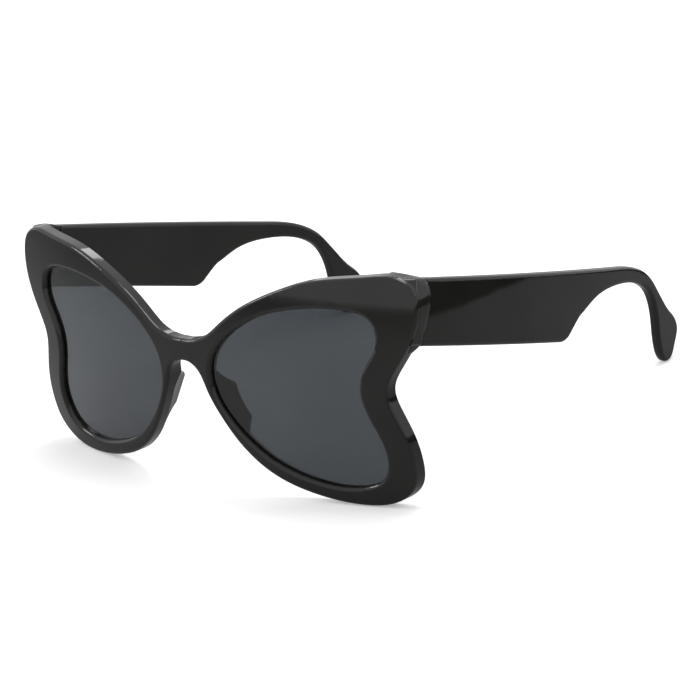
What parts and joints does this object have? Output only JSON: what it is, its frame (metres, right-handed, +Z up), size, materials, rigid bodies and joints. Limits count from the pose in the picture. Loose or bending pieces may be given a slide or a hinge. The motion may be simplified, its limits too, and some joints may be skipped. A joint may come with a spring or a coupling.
{
  "type": "sunglasses",
  "caption": "Oversized butterfly sunglasses with a curved moulded front, dark lenses, broad folding temples and barrel hinges with screws.",
  "frame": {"origin": "centre of the glasses' box on the surface they stand on, temples open", "axes": "+X to the wearer's left, +Y back towards the temple tips, +Z up"},
  "size_m": [0.142, 0.1352, 0.0624],
  "materials": {
    "black_moulding": "polished black moulding",
    "lens_tint": "see-through dark grey tint, polished on both faces",
    "hinge_metal": "fine satin metal",
    "screw_metal": "bright metal, slotted head"
  },
  "bodies": {
    "front": {"front_frame": "black_moulding", "lens_left": "lens_tint", "lens_right": "lens_tint", "front_hinge_left": "hinge_metal", "front_hinge_right": "hinge_metal", "hinge_screws": "screw_metal"},
    "left_temple": {"temple_left": "black_moulding", "temple_hinge_left": "hinge_metal"},
    "right_temple": {"temple_right": "black_moulding", "temple_hinge_right": "hinge_metal"}
  },
  "joints": [
    {"name": "left_hinge", "type": "hinge", "parent": "front", "child": "left_temple", "pos_m": [0.06405, -0.04875, 0.05197], "axis": [0, 0.2829, 0.9591], "range_deg": [0, 87.5]},
    {"name": "right_hinge", "type": "hinge", "parent": "front", "child": "right_temple", "pos_m": [-0.06405, -0.04875, 0.05197], "axis": [0, -0.2829, -0.9591], "range_deg": [0, 81]}
  ]
}
